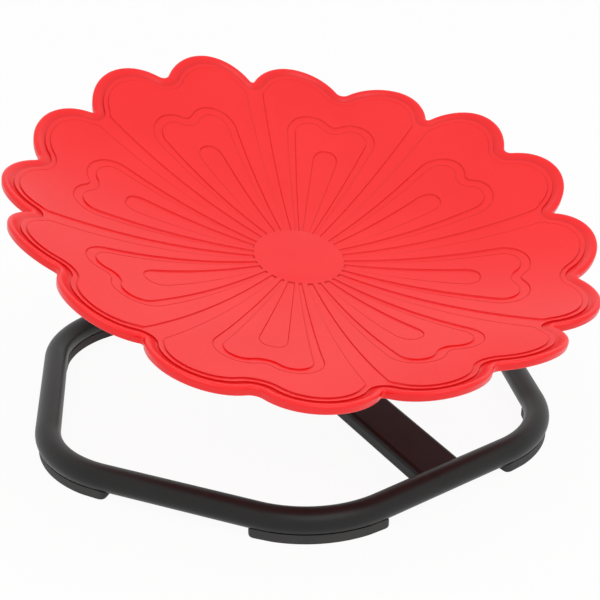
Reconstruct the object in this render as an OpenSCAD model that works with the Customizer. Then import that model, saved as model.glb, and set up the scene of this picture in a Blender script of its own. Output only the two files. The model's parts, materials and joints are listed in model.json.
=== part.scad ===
// Toddler spinning seat: a dished flower seat on a tilted ball-bearing pivot over a bent-tube frame.
// Millimetres, +Z up, the floor at Z = 0. The seat's low side faces -Y and the crossbar runs along Y.

/* [Base frame] */
// Distance between opposite straight runs of the frame, centre to centre
frame_flats = 429; // [400:1:520]
// Outside diameter of the frame tube
tube_d = 22; // [19:0.5:28]
// Wall of the frame tube
tube_wall = 1.5; // [1:0.1:2.5]
// Centre-line radius of each bend
bend_r = 95; // [60:1:120]
// Distance of the frame's middle behind the part's origin
frame_back = 27.36; // [0:0.02:60]

/* [Feet] */
// Height of the tube's underside above the floor
foot_drop = 5; // [4:0.5:12]
// Width of a foot pad
foot_w = 18; // [12:0.5:18]
// Angle that a foot pad spans around its bend
foot_span = 65; // [40:1:65]
// Chamfer along the lower edges of a foot pad
foot_chamfer = 1.5; // [0.5:0.1:2.5]
// Diameter of a foot screw's shank
foot_screw_d = 4; // [3:0.5:5]
// Length of a foot screw's shank
foot_screw_len = 11; // [8:0.5:14]
// Diameter of a foot screw's head
foot_head_d = 7.6; // [6:0.1:9]
// Height of a foot screw's head
foot_head_h = 2.4; // [1.5:0.1:2.8]
// Depth of a foot screw's head below the pad's underside
foot_head_in = 0.8; // [0.4:0.1:1]
// Angle of each foot screw from the middle of its bend
foot_screw_angle = 18; // [8:1:22]

/* [Crossbar] */
// Width of the rectangular crossbar
bar_w = 43.5; // [38:0.5:60]
// Thickness of the crossbar
bar_t = 15; // [12:0.5:18]
// Wall of the crossbar
bar_wall = 1.5; // [1:0.1:2.5]
// Angle at which the front of the crossbar rises
bar_rise = 10; // [6:0.5:14]
// Length of the tilted stretch under the pivot
pad_len = 110; // [80:1:140]
// Bend radius of the crossbar at its middle line
bar_bend_r = 40; // [25:1:60]
// Distance of the pivot behind the frame's middle
pivot_back = 3.5; // [-10:0.1:20]
// Diameter of the hole through the crossbar under the pivot
access_d = 30; // [27:0.5:32]
// Diameter of the flange of the plug in that hole
plug_flange_d = 36; // [33:0.5:38]
// Thickness of the plug's flange and wall
plug_wall = 2; // [1:0.1:3]
// Depth of the plug inside the crossbar
plug_depth = 6; // [4:0.5:8]

/* [Pivot] */
// Tilt of the spin axis towards the front
seat_tilt = 15; // [5:0.5:20]
// Outside diameter of a ball bearing
bearing_od = 40; // [38:0.5:47]
// Bore of a ball bearing
bearing_id = 17; // [15:0.5:18]
// Width of a ball bearing
bearing_w = 12; // [10:0.5:14]
// Thickness of the outer ring's shoulder
outer_ring_t = 3.4; // [3:0.1:4]
// Thickness of the inner ring's shoulder
inner_ring_t = 3.5; // [3:0.1:4]
// Diameter of a bearing ball
ball_d = 6.75; // [5:0.05:7.2]
// Number of balls in a bearing
ball_count = 8; // [6:1:9]
// Thickness of a ball cage
cage_t = 1.7; // [1:0.1:2.2]
// Height of a ball cage
cage_h = 9; // [8.5:0.5:10]
// Outside diameter of the bearing housing
housing_d = 50; // [48:0.5:60]
// Depth of the nut pocket under the lower bearing
nut_pocket = 14; // [13:0.5:18]
// Length of the spacers between the bearings
spacer_len = 10; // [6:0.5:30]
// Wall of the spacers
spacer_wall = 2.5; // [1.5:0.1:3]
// Thickness of the retaining ring
ring_t = 1.75; // [1.2:0.05:2.5]
// Depth of the retaining ring's groove in the housing
ring_groove = 1.25; // [0.8:0.05:1.6]
// Radial width of the retaining ring
ring_w = 3; // [2.2:0.1:3.6]
// Opening of the retaining ring
ring_gap = 30; // [15:1:60]
// Height of the housing above the retaining ring's groove
housing_lip = 2.2; // [1.5:0.1:4]
// Diameter of the spindle's thread
thread_d = 12; // [10:0.5:14]
// Length of thread below the nut
thread_end = 3.5; // [1:0.5:8]
// Thickness of the thrust washer
washer_t = 2.5; // [1.5:0.1:3]
// Height of the lock nut
nut_h = 12; // [8:0.5:13]
// Width of the lock nut across its flats
nut_flats = 18; // [17:0.5:21]
// Diameter of the spindle's shoulder on the upper bearing
shoulder_d = 24; // [22:0.5:25]
// Diameter of the spindle's flange under the seat plate
flange_d = 60; // [59:1:80]
// Thickness of the spindle's flange
flange_t = 5; // [3:0.5:8]
// Wall of the dust cover's skirt
cover_wall = 2.4; // [1.5:0.1:3]
// Thickness of the dust cover's top
cover_top = 2; // [1.5:0.1:3]
// Space between the housing and the dust cover's top
cover_gap = 6; // [2:0.5:10]
// Length of the dust cover's skirt past the housing's top
cover_lap = 8; // [4:0.5:12]

/* [Seat plate] */
// Diameter of the steel plate under the seat
plate_d = 144; // [140:1:160]
// Thickness of the plate
plate_t = 4; // [3:0.5:6]
// Diameter of the circle of seat screws
screw_circle_d = 108; // [100:1:112]
// Number of seat screws
seat_screw_count = 6; // [4:1:8]
// Diameter of a seat screw
seat_screw_d = 6; // [5:0.5:6.5]
// Length of a seat screw under its head
seat_screw_len = 11.5; // [9:0.5:12]
// Diameter of a seat screw's head
seat_head_d = 10.5; // [9:0.1:11.5]
// Height of a seat screw's head
seat_head_h = 3.6; // [2.5:0.1:5]
// Outside diameter of a spring washer
spring_washer_d = 11.8; // [11:0.1:13]
// Thickness of a spring washer
spring_washer_t = 1.6; // [1:0.1:2]
// Outside diameter of a threaded insert
insert_d = 9; // [8:0.1:10]
// Length of a threaded insert
insert_len = 8; // [6:0.5:8.5]

/* [Seat] */
// Radius from the spin axis to the tip of a lobe
seat_r = 257; // [230:1:280]
// Radius of the round edge of each lobe
lobe_r = 46.4; // [44:0.1:56]
// Angle between the two lobes of a petal
lobe_spread = 23.2; // [21.6:0.1:24]
// Radius of the round in the notch in the middle of a petal
petal_notch = 23; // [6:0.5:30]
// Radius of the round in the notch between two petals
gap_notch = 2.2; // [1:0.1:8]
// Rise of the dish from its middle to the lobe tips
dish_rise = 61.7; // [40:0.1:80]
// Height that the petals rise and fall by turns at their tips
petal_wave = 9.1; // [0:0.1:12]
// Wall of the seat
seat_wall = 4.5; // [3:0.1:6]
// Radius of the flat middle
disc_r = 41.5; // [30:0.5:48]
// Height of the turned-down rim
rim_h = 9.5; // [8:0.5:16]
// Width of the bead along the rim
bead_w = 9; // [7:0.5:12]
// Width of the groove inside the bead
groove_w = 6; // [4:0.5:9]
// Depth of the groove inside the bead
groove_d = 1.3; // [0.5:0.1:2.5]
// Edge radius of the bead
bead_edge = 2.5; // [1:0.1:3]
// Thickness of the rim's lip
lip_t = 4; // [3:0.1:6]
// Height of the ring under the seat that the plate bolts to
hub_h = 6.5; // [5.5:0.1:10]
// Inner radius of that ring
hub_in_r = 41; // [36:0.5:44]
// Outer radius of that ring
hub_out_r = 68; // [63:0.5:72]

/* [Seat relief] */
// Depth of the hollows in the petals
relief_d = 1.3; // [0.5:0.1:2]
// Half the width of the slope at the sides of the hollows
relief_slope = 0.3; // [0.1:0.05:0.6]
// Length of the slope where the hollows start at the flat middle
disc_step = 0.9; // [0.5:0.1:2]
// Width of a petal's middle hollow where it starts at the flat middle
tongue_start_w = 5.8; // [3:0.1:7]
// Width of that hollow near its end
tongue_w = 22.6; // [16:0.2:26]
// Length of that hollow's round end
tongue_round = 14.5; // [8:0.5:18]
// Distance of that hollow's end from the lobe tips
tongue_in = 99.5; // [93:0.5:120]
// Distance of the middles of the heart's rounds from the lobe tips
heart_in = 81.8; // [77:0.2:89]
// Distance of the middles of the heart's rounds from the petal's middle
heart_aside = 20; // [17:0.5:23]
// Radius of the heart's rounds at its outer edge
heart_r = 23; // [20:0.5:26]
// Radius of the round in the heart's notch
heart_notch = 3; // [1:0.5:5]
// Width of the hollow that draws the heart
heart_w = 8; // [5:0.5:9.5]
// Angle from the petal's middle at which the heart's outer edge leaves the flat middle
heart_outer_angle = 12.7; // [11:0.1:14.5]
// Angle from the petal's middle at which the heart's inner edge leaves the flat middle
heart_inner_angle = 8.4; // [7:0.1:9.7]
// Half the width of the gap between two petals at the flat middle
gap_start = 2.6; // [1.5:0.1:3.5]
// Half the width of the gap between two petals at the rim
gap_end = 8.6; // [6:0.1:11]

/* [Hidden] */
$fn = 64;

// Clearance between parts that slide together by hand
slip = 0.02;
// Clearance of a ball in its tracks and in its cage
ball_gap = 0.1;
// Clearance between the dust cover and the housing
cover_clear = 0.6;
// Clearance of a screw in the hole it passes through
hole_clear = 0.2;
// Clearance of a pad or a coped end on the frame tube
cope_gap = 0.05;
// Length by which a straight run of the frame runs into each bend
run_lap = 1;
// Amount by which a straight run is thinner than a bend, so that the two join at one clear edge
run_step = 0.05;
// Overrun of a cut past the faces it goes through
cut = 1;

// Colours as photographed
seat_red = [0.96, 0.2, 0.2];
frame_grey = [0.2, 0.2, 0.2];
pad_grey = [0.16, 0.16, 0.16];
steel = [0.72, 0.73, 0.75];
brass = [0.78, 0.62, 0.3];

// Frame layout
corners = 6;
corner_angle = 360 / corners;
apothem = frame_flats / 2;
tube_r = tube_d / 2;
tube_z = foot_drop + tube_r;
bend_c = (apothem - bend_r) / cos(corner_angle / 2);
run_len = 2 * (apothem - bend_r) * tan(corner_angle / 2);
foot_top = tube_z - sqrt(pow(tube_r, 2) - pow(foot_w / 2, 2));
foot_bore_r = foot_head_d / 2 + hole_clear;

// Middle line of the crossbar, as [y, z] from the frame's middle
pad_half = pad_len / 2 * [cos(seat_tilt), sin(seat_tilt)];
pivot_z = tube_z + (apothem + pivot_back - pad_half[0]) * tan(bar_rise) + pad_half[1];
pad_front = [pivot_back, pivot_z] - pad_half;
pad_rear = [pivot_back, pivot_z] + pad_half;
leg_angle = atan2(tube_z - pad_rear[1], apothem - pad_rear[0]);
bar_bend_steps = 8;

// Heights along the spin axis, from the top of the crossbar
upper_s = nut_pocket + bearing_w + spacer_len;
ring_s = upper_s + bearing_w;
housing_h = ring_s + ring_t + housing_lip;
cover_s = housing_h + cover_gap;
flange_s = cover_s + cover_top;
plate_s = flange_s + flange_t;
land_s = plate_s + plate_t;
seat_s = land_s + hub_h + seat_wall;
head_s = plate_s - spring_washer_t;

// Bearing layout
pitch_r = (bearing_od + bearing_id) / 4;
ball_r = ball_d / 2;
track_r = ball_r + ball_gap;
outer_track_r = bearing_od / 2 - outer_ring_t;
inner_track_r = bearing_id / 2 + inner_ring_t;

// Seat outline: petals that each end in two lobes
petals = 8;
lobes = 2 * petals;
lobe_c = seat_r - lobe_r;
lobe_steps = 10;
seat_steps = lobes * lobe_steps;
panel_in = bead_w + groove_w;
half_petal = 180 / petals;
leg_steps = 5;
notch_steps = 2;
under_rows = 4;
hub_fillet = 1.5;

// Placement helpers

module at_frame() {
    translate([0, frame_back, 0]) children();
}

// Spin axis as local Z, from the top of the crossbar at the pivot
module at_pivot(s = 0) {
    at_frame()
        translate([0, pivot_back, pivot_z])
            rotate([seat_tilt, 0, 0])
                translate([0, 0, bar_t / 2 + s]) children();
}

// Centre of the bend at one corner, with local +X pointing outwards
module at_bend(corner) {
    at_frame() rotate(corner * corner_angle) translate([bend_c, 0, 0]) children();
}

module around_axis(count, r) {
    for (i = [0 : count - 1]) rotate(i * 360 / count) translate([r, 0, 0]) children();
}

module ring(outer_r, inner_r, h) {
    difference() {
        cylinder(r = outer_r, h = h);
        translate([0, 0, -cut]) cylinder(r = inner_r, h = h + 2 * cut);
    }
}

// Ring with an opening at local +X
module split_ring(outer_r, inner_r, h, opening) {
    rotate(opening / 2) rotate_extrude(angle = 360 - opening)
        translate([inner_r, 0]) square([outer_r - inner_r, h]);
}

// Frame and feet

// Closed ring of six bends and six straight runs, as a solid rod
module ring_rod(r) {
    for (corner = [0 : corners - 1]) {
        at_bend(corner) translate([0, 0, tube_z]) rotate(-corner_angle / 2)
            rotate_extrude(angle = corner_angle) translate([bend_r, 0]) circle(r = r);
        at_frame() rotate((corner + 0.5) * corner_angle) translate([apothem, 0, tube_z])
            rotate([90, 0, 0]) cylinder(r = r - run_step, h = run_len + 2 * run_lap, center = true);
    }
}

// Places of the two screws in one foot, on the tube's middle line
module at_foot_screws(corner) {
    for (side = [-1, 1])
        at_bend(corner) rotate(side * foot_screw_angle) translate([bend_r, 0, 0]) children();
}

module frame_tube() {
    color(frame_grey) difference() {
        ring_rod(tube_r);
        ring_rod(tube_r - tube_wall);
        for (corner = [0 : corners - 1])
            at_foot_screws(corner) cylinder(d = foot_screw_d + 2 * slip, h = tube_z);
    }
}

module foot_section() {
    difference() {
        polygon([
            [-foot_w / 2 + foot_chamfer, 0], [foot_w / 2 - foot_chamfer, 0],
            [foot_w / 2, foot_chamfer], [foot_w / 2, foot_top],
            [-foot_w / 2, foot_top], [-foot_w / 2, foot_chamfer]
        ]);
        translate([0, tube_z]) circle(r = tube_r + cope_gap);
    }
}

module foot_pad(corner) {
    color(pad_grey) difference() {
        at_bend(corner) rotate(-foot_span / 2)
            rotate_extrude(angle = foot_span) translate([bend_r, 0]) foot_section();
        at_foot_screws(corner) {
            translate([0, 0, -cut]) cylinder(d = foot_screw_d + 2 * hole_clear, h = tube_z);
            translate([0, 0, -cut]) cylinder(r = foot_bore_r, h = foot_head_in + foot_head_h + cut);
        }
    }
}

module foot_screws() {
    color(steel) for (corner = [0 : corners - 1])
        at_foot_screws(corner) translate([0, 0, foot_head_in]) {
            cylinder(d = foot_head_d, h = foot_head_h);
            cylinder(d = foot_screw_d, h = foot_head_h + foot_screw_len);
        }
}

// Crossbar

// Points of a bend from angle a1 to a2 at a corner of the middle line, each with its direction
function bend_points(corner, a1, a2, r) =
    let (side = sign(a2 - a1),
         start = corner - r * tan(abs(a2 - a1) / 2) * [cos(a1), sin(a1)],
         centre = start + side * r * [-sin(a1), cos(a1)])
    [for (i = [0 : bar_bend_steps])
        let (a = a1 + (a2 - a1) * i / bar_bend_steps)
        [centre + side * r * [sin(a), -cos(a)], a]];

bar_path = concat(
    [[[-apothem, tube_z], bar_rise]],
    bend_points(pad_front, bar_rise, seat_tilt, bar_bend_r),
    bend_points(pad_rear, seat_tilt, leg_angle, bar_bend_r),
    [[[apothem, tube_z], leg_angle]]);

function bar_side(offset) = [for (p = bar_path) p[0] + offset * [-sin(p[1]), cos(p[1])]];

module bar_strip(w, t) {
    at_frame() rotate([90, 0, 90]) linear_extrude(w, center = true)
        polygon(concat(bar_side(t / 2), [for (i = [len(bar_path) - 1 : -1 : 0]) bar_side(-t / 2)[i]]));
}

module crossbar() {
    color(frame_grey) difference() {
        bar_strip(bar_w, bar_t);
        bar_strip(bar_w - 2 * bar_wall, bar_t - 2 * bar_wall);
        at_pivot(-bar_t - cut) cylinder(d = access_d, h = bar_t + 2 * cut);
        at_frame() for (end = [-1, 1])
            translate([0, end * apothem, tube_z]) rotate([0, 90, 0])
                cylinder(r = tube_r + cope_gap, h = bar_w + 2 * cut, center = true);
    }
}

module bar_plug() {
    color(pad_grey) at_pivot(-bar_t - plug_wall) {
        cylinder(d = plug_flange_d, h = plug_wall);
        ring(access_d / 2 - slip, access_d / 2 - plug_wall, plug_wall + plug_depth);
    }
}

// Bearings and spindle

module bearing_housing() {
    color(frame_grey) at_pivot() difference() {
        cylinder(d = housing_d, h = housing_h);
        translate([0, 0, -cut]) cylinder(d = access_d, h = nut_pocket + 2 * cut);
        translate([0, 0, nut_pocket]) cylinder(r = bearing_od / 2 + slip, h = housing_h);
        translate([0, 0, ring_s]) cylinder(r = bearing_od / 2 + ring_groove, h = ring_t + 2 * slip);
    }
}

module ball_track() {
    translate([0, 0, bearing_w / 2]) rotate_extrude() translate([pitch_r, 0]) circle(r = track_r);
}

module outer_ring(s) {
    color(steel) at_pivot(s) difference() {
        ring(bearing_od / 2, outer_track_r, bearing_w);
        ball_track();
    }
}

module inner_ring(s) {
    color(steel) at_pivot(s) difference() {
        ring(inner_track_r, bearing_id / 2, bearing_w);
        ball_track();
    }
}

module balls(s) {
    color(steel) at_pivot(s + bearing_w / 2) around_axis(ball_count, pitch_r) sphere(r = ball_r);
}

module cage(s) {
    color(brass) at_pivot(s + bearing_w / 2) difference() {
        translate([0, 0, -cage_h / 2]) ring(pitch_r + cage_t / 2, pitch_r - cage_t / 2, cage_h);
        around_axis(ball_count, pitch_r)
            rotate([0, 90, 0]) cylinder(r = track_r, h = 2 * cage_t, center = true);
    }
}

module outer_spacer() {
    color(steel) at_pivot(nut_pocket + bearing_w)
        ring(bearing_od / 2, bearing_od / 2 - spacer_wall, spacer_len);
}

module inner_spacer() {
    color(steel) at_pivot(nut_pocket + bearing_w)
        ring(bearing_id / 2 + spacer_wall, bearing_id / 2, spacer_len);
}

module retaining_ring() {
    ring_outer_r = bearing_od / 2 + ring_groove - slip;
    color(steel) at_pivot(ring_s) split_ring(ring_outer_r, ring_outer_r - ring_w, ring_t, ring_gap);
}

module spindle() {
    color(steel) {
        at_pivot(nut_pocket - washer_t - nut_h - thread_end)
            cylinder(d = thread_d, h = nut_h + washer_t + thread_end + bearing_w);
        at_pivot(nut_pocket + slip) cylinder(r = bearing_id / 2 - slip, h = ring_s - nut_pocket);
        at_pivot(ring_s) cylinder(d = shoulder_d, h = flange_s - ring_s);
        at_pivot(flange_s) cylinder(d = flange_d, h = flange_t);
    }
}

module thrust_washer() {
    color(steel) at_pivot(nut_pocket - washer_t) ring(shoulder_d / 2, thread_d / 2 + slip, washer_t);
}

module lock_nut() {
    color(steel) at_pivot(nut_pocket - washer_t - nut_h) difference() {
        cylinder(r = nut_flats / 2 / cos(30), h = nut_h, $fn = 6);
        translate([0, 0, -cut]) cylinder(r = thread_d / 2 + slip, h = nut_h + 2 * cut);
    }
}

module dust_cover() {
    skirt_r = housing_d / 2 + cover_clear;
    color(pad_grey) {
        at_pivot(cover_s) ring(skirt_r + cover_wall, shoulder_d / 2 + slip, cover_top);
        at_pivot(housing_h - cover_lap) ring(skirt_r + cover_wall, skirt_r, cover_lap + cover_gap + cover_top);
    }
}

// Seat plate and its fasteners

module at_seat_screws(s) {
    at_pivot(s) around_axis(seat_screw_count, screw_circle_d / 2) children();
}

module seat_plate() {
    color(steel) difference() {
        at_pivot(plate_s) cylinder(d = plate_d, h = plate_t);
        at_seat_screws(plate_s - cut) cylinder(d = seat_screw_d + 2 * hole_clear, h = plate_t + 2 * cut);
    }
}

module seat_screws() {
    color(steel) at_seat_screws(head_s) {
        translate([0, 0, -seat_head_h]) cylinder(d = seat_head_d, h = seat_head_h);
        cylinder(d = seat_screw_d, h = seat_screw_len);
    }
}

module spring_washers() {
    color(steel) at_seat_screws(head_s)
        split_ring(spring_washer_d / 2, seat_screw_d / 2 + hole_clear, spring_washer_t, ring_gap);
}

module threaded_inserts() {
    color(brass) at_seat_screws(land_s) ring(insert_d / 2, seat_screw_d / 2 + slip, insert_len);
}

// Seat shell

// Distance from the spin axis to the centre of a notch's round of radius q, at b degrees from the lobe's middle
function notch_c(q, b) = lobe_c * cos(b) + sqrt(pow(lobe_r + q, 2) - pow(lobe_c * sin(b), 2));

// Radius of the outline moved in by d, on the lobe's arc at t degrees from the lobe's middle
function lobe_edge(t, d) = lobe_c * cos(t) + sqrt(pow(lobe_r - d, 2) - pow(lobe_c * sin(t), 2));

// The same on the round in a notch, at u degrees from the notch
function notch_edge(u, d, q, b) =
    let (c = notch_c(q, b))
    c * cos(u) - sqrt(pow(q + d, 2) - pow(c * sin(u), 2));

// Angle from the notch at which its round runs into the lobe's arc
function notch_end(d, q, b) =
    let (f = (lobe_r - d) / (lobe_r + q), along = lobe_c * cos(b))
    atan2(lobe_c * sin(b) * (1 - f), along + f * (notch_c(q, b) - along));

// Outline moved in by d, at an angle around the spin axis
function rim_radius(a, d) =
    let (from_middle = abs(a - 2 * half_petal * round(a / (2 * half_petal))),
         in_petal = from_middle < lobe_spread / 2,
         u = in_petal ? from_middle : half_petal - from_middle,
         b = in_petal ? lobe_spread / 2 : half_petal - lobe_spread / 2,
         q = in_petal ? petal_notch : gap_notch)
    u < notch_end(d, q, b) ? notch_edge(u, d, q, b) : lobe_edge(b - u, d);

// Height of the seat's upper surface: a dish whose petals rise and fall by turns
function top_s(r, a) =
    seat_s + dish_rise * pow(r / seat_r, 2) + petal_wave * pow(r / seat_r, 3) * cos(petals / 2 * a);

// A row of points part of the way f from a circle to the moved-in outline, offset from the upper surface
function seat_row(inner_r, f, inset, offset) =
    [for (i = [0 : seat_steps - 1])
        let (a = i * 360 / seat_steps, r = inner_r + f * (rim_radius(a, inset) - inner_r))
        [r * cos(a), r * sin(a), top_s(r, a) + offset]];

function flat_row(r, s) =
    [for (i = [0 : seat_steps - 1]) let (a = i * 360 / seat_steps) [r * cos(a), r * sin(a), s]];

disc_s = top_s(disc_r, 0) - petal_wave * pow(disc_r / seat_r, 3);
under_s = disc_s - seat_wall;

// Relief of half a petal, as lines in plan that run from the flat middle to the petal's middle line.
// Each moves away from the petal's middle by e.

function polar(r, a) = r * [cos(a), sin(a)];

// Place on the edge of the flat middle
function disc_start(y) = [sqrt(pow(disc_r, 2) - pow(y, 2)), y];

// Straight leg with a first short step
function leg(from, to) =
    let (length = norm(to - from), way = (to - from) / length)
    concat([from], [for (i = [0 : leg_steps]) from + (disc_step + (length - disc_step) * i / leg_steps) * way]);

function arc(c, r, a1, a2, steps) = [for (i = [1 : steps]) c + polar(r, a1 + (a2 - a1) * i / steps)];

tongue_from = seat_r - tongue_in - tongue_round;
tongue_power = 2 / 2.4;

middle_line = concat(
    leg([disc_r, 0], [tongue_from, 0]),
    [for (i = [1 : lobe_steps]) [tongue_from + tongue_round / 2 * i / lobe_steps, 0]]);

function tongue_line(e) = concat(
    leg(disc_start(tongue_start_w / 2 + e), [tongue_from, tongue_w / 2 + e]),
    [for (i = [1 : lobe_steps])
        let (t = 90 * i / lobe_steps)
        [tongue_from + (tongue_round + e) * pow(sin(t), tongue_power),
         (tongue_w / 2 + e) * pow(cos(t), tongue_power)]]);

// Leg that touches the round of the heart, the round, and the round in the notch
function heart_line(inset, start_angle, e) =
    let (c = [seat_r - heart_in, heart_aside],
         r = heart_r - inset + e,
         from = disc_start(disc_r * sin(start_angle) + e),
         reach = norm(c - from),
         lean = atan2(c[1] - from[1], c[0] - from[0]) + asin(r / reach),
         q = heart_notch + inset - e,
         notch_x = c[0] + sqrt(pow(r + q, 2) - pow(c[1], 2)),
         to_notch = atan2(-c[1], notch_x - c[0]))
    concat(
        leg(from, from + polar(sqrt(pow(reach, 2) - pow(r, 2)), lean)),
        arc(c, r, lean + 90, to_notch, lobe_steps - notch_steps),
        arc([notch_x, 0], q, to_notch + 180, 180, notch_steps));

// Edge of the petal's panel: along the gap between two petals, then along the rim's groove
function panel_line(e) =
    let (inset = panel_in - e,
         a = half_petal - asin((gap_end - e) / rim_radius(half_petal, inset)))
    concat(
        leg(polar(disc_r, half_petal - asin((gap_start - e) / disc_r)), polar(rim_radius(a, inset), a)),
        [for (i = [1 : lobe_steps])
            let (b = a * (1 - i / lobe_steps))
            polar(rim_radius(b, inset), b)]);

// Lines of half a petal from its middle out, each with its depth under the upper surface
heart_outside = heart_line(0, heart_outer_angle, relief_slope);
panel_inside = panel_line(-relief_slope);
relief_lines = [
    [middle_line, relief_d],
    [tongue_line(-relief_slope), relief_d],
    [tongue_line(relief_slope), 0],
    [heart_line(heart_w, heart_inner_angle, -relief_slope), 0],
    [heart_line(heart_w, heart_inner_angle, relief_slope), relief_d],
    [heart_line(0, heart_outer_angle, -relief_slope), relief_d],
    [heart_outside, 0],
    [(heart_outside + panel_inside) / 2, 0],
    [panel_inside, 0],
    [panel_line(relief_slope), relief_d]];

// Middle of the gap between two petals, from the flat middle to the groove
groove_in = panel_in - groove_d;
gap_line = leg(polar(disc_r, half_petal), polar(rim_radius(half_petal, groove_in), half_petal));

// A place in plan turned to its petal and raised to the upper surface
function on_petal(v, petal, side, depth, flat) =
    let (r = norm(v), a = 2 * half_petal * petal + (side == 0 ? 1 : -1) * atan2(v[1], v[0]))
    [r * cos(a), r * sin(a), flat ? disc_s : top_s(r, a) - depth];

line_count = len(relief_lines);
line_len = len(middle_line);
gap_len = leg_steps + 1;

petal_points = [
    for (petal = [0 : petals - 1], side = [0, 1], line = relief_lines, i = [0 : line_len - 1])
        on_petal(line[0][i], petal, side, line[1], i == 0)];
gap_points = [
    for (petal = [0 : petals - 1], i = [0 : gap_len - 1]) on_petal(gap_line[i], petal, 0, relief_d, i == 0)];

// Closed rows from the groove over the bead and round the rim to the hub
seat_rows = [
    seat_row(0, 1, groove_in, -groove_d),
    seat_row(0, 1, bead_w + groove_d, -groove_d),
    seat_row(0, 1, bead_w, 0),
    seat_row(0, 1, bead_edge, 0),
    seat_row(0, 1, bead_edge * (1 - cos(45)), -bead_edge * (1 - sin(45))),
    seat_row(0, 1, 0, -bead_edge),
    seat_row(0, 1, 0, -rim_h),
    seat_row(0, 1, lip_t, -rim_h),
    seat_row(0, 1, lip_t, -seat_wall),
    seat_row(0, 1, panel_in, -seat_wall - groove_d),
    for (k = [under_rows - 1 : -1 : 0]) seat_row(hub_out_r + hub_fillet, k / under_rows, panel_in, -seat_wall),
    flat_row(hub_out_r, land_s),
    flat_row(hub_in_r, land_s),
    flat_row(hub_in_r - hub_fillet, under_s)];

seat_points = concat(
    petal_points, gap_points, [for (row = seat_rows) each row], [[0, 0, disc_s], [0, 0, under_s]]);
gap_base = len(petal_points);
row_base = gap_base + len(gap_points);
last_row = len(seat_rows) - 1;
top_middle = len(seat_points) - 2;
under_middle = len(seat_points) - 1;

function row_index(row, i) = row_base + row * seat_steps + (i + seat_steps) % seat_steps;

// Point i of a line. The halves of a petal share their middle, and neighbours share the gap.
function line_index(petal, side, line, i) =
    line < line_count
        ? ((2 * petal + (line == 0 || i == line_len - 1 ? 0 : side)) * line_count + line) * line_len + i
        : i < gap_len
            ? gap_base + (petal + petals - side) % petals * gap_len + i
            : row_index(0, 2 * lobe_steps * petal + (side == 0 ? 1 : -1) * (line_len - 1 - i));

function turn_over(face, side) = side == 0 ? face : [face[0], face[2], face[1]];

petal_faces = [
    for (petal = [0 : petals - 1], side = [0, 1], line = [0 : line_count - 1], i = [0 : line_len - 2])
        let (a = line_index(petal, side, line, i),
             b = line_index(petal, side, line, i + 1),
             c = line_index(petal, side, line + 1, i + 1),
             d = line_index(petal, side, line + 1, i))
        each [turn_over([a, d, b], side), turn_over([b, d, c], side)]];

disc_faces = [
    for (petal = [0 : petals - 1], side = [0, 1], line = [0 : line_count - 1])
        turn_over(
            [top_middle, line_index(petal, side, line + 1, 0), line_index(petal, side, line, 0)], side)];

seat_faces = concat(
    petal_faces,
    disc_faces,
    [for (row = [0 : last_row - 1], i = [0 : seat_steps - 1])
        [row_index(row, i), row_index(row, i + 1), row_index(row + 1, i + 1)]],
    [for (row = [0 : last_row - 1], i = [0 : seat_steps - 1])
        [row_index(row, i), row_index(row + 1, i + 1), row_index(row + 1, i)]],
    [for (i = [0 : seat_steps - 1]) [row_index(last_row, i), row_index(last_row, i + 1), under_middle]]);

module seat_shell() {
    color(seat_red) difference() {
        at_pivot() polyhedron(seat_points, seat_faces);
        at_seat_screws(land_s - cut) cylinder(r = insert_d / 2 + slip, h = insert_len + 2 * cut);
    }
}

frame_tube();
crossbar();
bar_plug();
for (corner = [0 : corners - 1])
    foot_pad(corner);
foot_screws();
bearing_housing();
outer_ring(nut_pocket);  // lower_outer_ring
outer_ring(upper_s);  // upper_outer_ring
outer_spacer();
retaining_ring();
inner_ring(nut_pocket);  // lower_inner_ring
inner_ring(upper_s);  // upper_inner_ring
inner_spacer();
spindle();
thrust_washer();
lock_nut();
balls(nut_pocket);  // lower_balls
cage(nut_pocket);  // lower_cage
balls(upper_s);  // upper_balls
cage(upper_s);  // upper_cage
dust_cover();
seat_plate();
seat_screws();
spring_washers();
threaded_inserts();
seat_shell();
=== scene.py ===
import json
import math

import bpy
import numpy as np
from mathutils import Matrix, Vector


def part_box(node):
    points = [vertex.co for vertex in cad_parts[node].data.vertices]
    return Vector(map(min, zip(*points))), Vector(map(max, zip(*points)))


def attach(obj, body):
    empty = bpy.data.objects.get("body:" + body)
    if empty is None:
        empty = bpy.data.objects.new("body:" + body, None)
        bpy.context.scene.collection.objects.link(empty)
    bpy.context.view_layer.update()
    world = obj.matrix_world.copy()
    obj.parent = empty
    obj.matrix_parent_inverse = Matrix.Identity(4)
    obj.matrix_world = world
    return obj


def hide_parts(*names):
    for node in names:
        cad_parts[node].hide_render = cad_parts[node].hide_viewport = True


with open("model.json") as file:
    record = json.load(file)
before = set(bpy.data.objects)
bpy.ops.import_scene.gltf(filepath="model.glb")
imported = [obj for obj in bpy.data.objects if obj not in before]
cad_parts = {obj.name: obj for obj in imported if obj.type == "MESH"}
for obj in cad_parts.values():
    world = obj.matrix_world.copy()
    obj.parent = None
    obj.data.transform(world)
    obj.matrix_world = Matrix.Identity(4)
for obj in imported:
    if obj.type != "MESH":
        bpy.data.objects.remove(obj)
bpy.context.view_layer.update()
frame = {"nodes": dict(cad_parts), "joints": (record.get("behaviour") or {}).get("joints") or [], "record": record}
mm = 0.001  # every size below is in millimetres, the meshes are in metres
print("frame loaded with", len(frame["nodes"]), "nodes")

# the spin axis comes from the joint: local x across the bar, y up the tilt, height along the axis
spinJoint = next(j for j in frame["joints"] if j["name"] == "seat_spin")
spinAxis = np.array(spinJoint["axis"])
spinPoint = np.array(spinJoint["pos_m"]) / mm
acrossAxis = np.array([1.0, 0.0, 0.0])
tiltAxis = np.cross(spinAxis, acrossAxis)
seatTilt = math.atan2(-spinAxis[1], spinAxis[2])


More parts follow.
